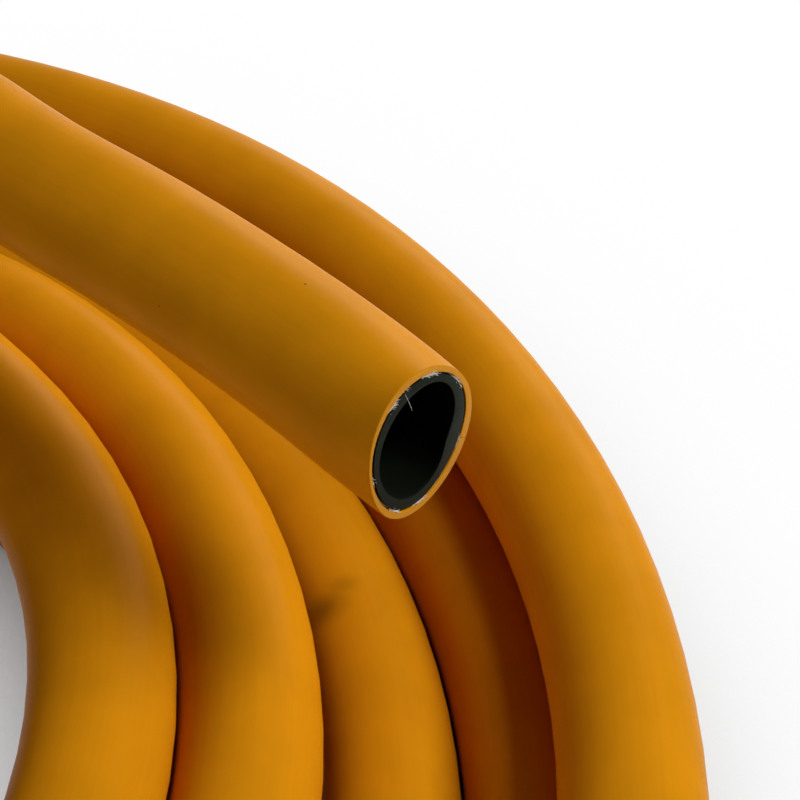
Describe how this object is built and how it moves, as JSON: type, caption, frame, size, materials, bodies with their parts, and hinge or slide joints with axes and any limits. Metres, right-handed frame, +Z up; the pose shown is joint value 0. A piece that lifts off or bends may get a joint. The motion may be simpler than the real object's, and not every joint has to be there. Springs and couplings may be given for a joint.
{
  "type": "reinforced pvc hose",
  "caption": "Flexible water hose with a yarn-reinforced wall, cut off plain at both ends and lying in a loose flat coil.",
  "frame": {"origin": "on the floor under the centre of the coil's footprint", "axes": "+Z up out of the flat coil, +X the way the free end on top points"},
  "size_m": [0.4563, 0.4544, 0.1114],
  "materials": {
    "amber_pvc": "satin soft PVC, faint extrusion lines",
    "polyester_yarn": "white spun polyester yarn",
    "black_pvc": "soft black PVC, knife-cut face"
  },
  "bodies": {
    "root": {"outer_cover": "amber_pvc", "yarn_reinforcement": "polyester_yarn", "inner_liner": "black_pvc"}
  },
  "joints": []
}
